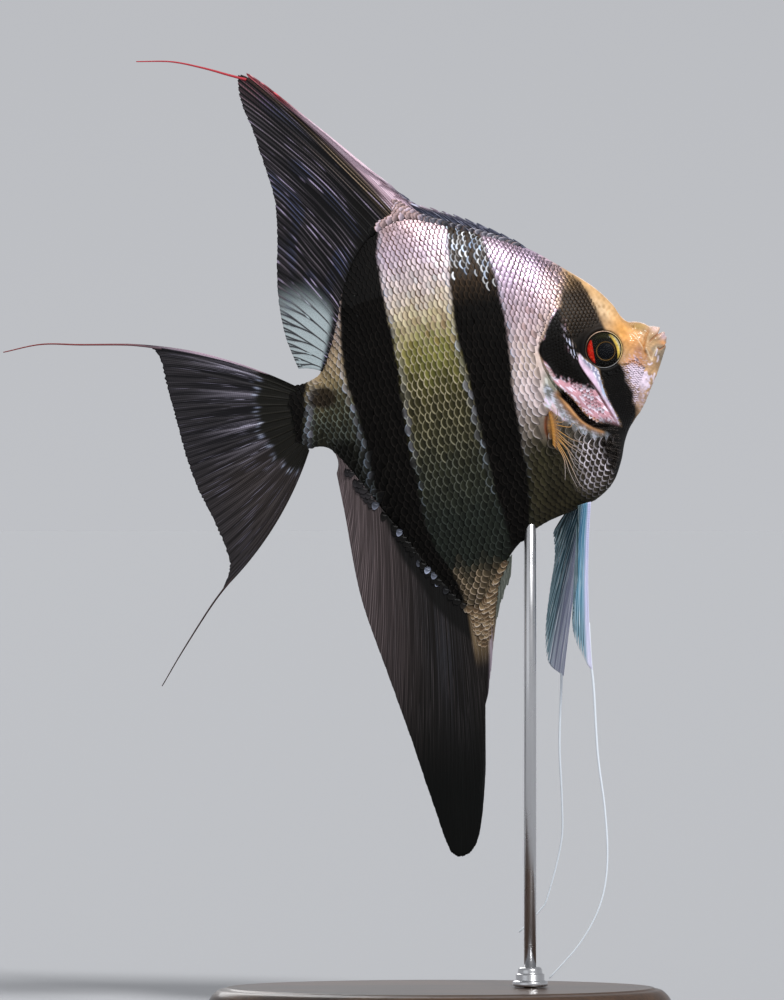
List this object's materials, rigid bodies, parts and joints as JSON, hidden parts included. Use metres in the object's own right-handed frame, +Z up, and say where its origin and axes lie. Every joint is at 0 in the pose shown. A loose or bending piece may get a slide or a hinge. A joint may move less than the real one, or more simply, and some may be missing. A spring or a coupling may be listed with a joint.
{
  "type": "freshwater angelfish",
  "caption": "Life-size freshwater angelfish, nose raised, with a deep thin dark-barred body, tall swept fins and long trailing threads, held by one rod on a plain oval stand.",
  "frame": {"origin": "centre of the underside of the stand's base, on the surface that it rests on", "axes": "+X the way the fish swims, +Y the fish's left, +Z up"},
  "size_m": [0.1756, 0.072, 0.2499],
  "materials": {
    "skin": "wet pearly scaled skin, silver-lavender to olive, with black bars",
    "face": "smooth wet skin, tan-orange brow and snout, pink silver cheek",
    "eye": "wet gloss, black pupil, gold and red rings",
    "fin": "thin dark rayed membrane with a pale pink front edge",
    "clear_fin": "thin clear rayed membrane with gold rays",
    "pale_fin": "thin pale blue-white rayed membrane and threads",
    "base": "dark stained hardwood, satin lacquer",
    "rod": "brushed"
  },
  "bodies": {
    "root": {"head": "face", "upper_jaw": "face", "lower_jaw": "face", "trunk": "skin", "tail_stem": "skin", "gill_cover_left": "skin", "gill_cover_right": "skin", "eye_left": "eye", "eye_right": "eye", "dorsal_fin": "fin", "anal_fin": "fin", "caudal_fin": "fin", "pectoral_fin_left": "clear_fin", "pectoral_fin_right": "clear_fin", "ventral_fin_left": "pale_fin", "ventral_fin_right": "pale_fin", "stand_base": "base", "stand_rod": "rod", "stand_ferrule": "rod"}
  },
  "joints": []
}
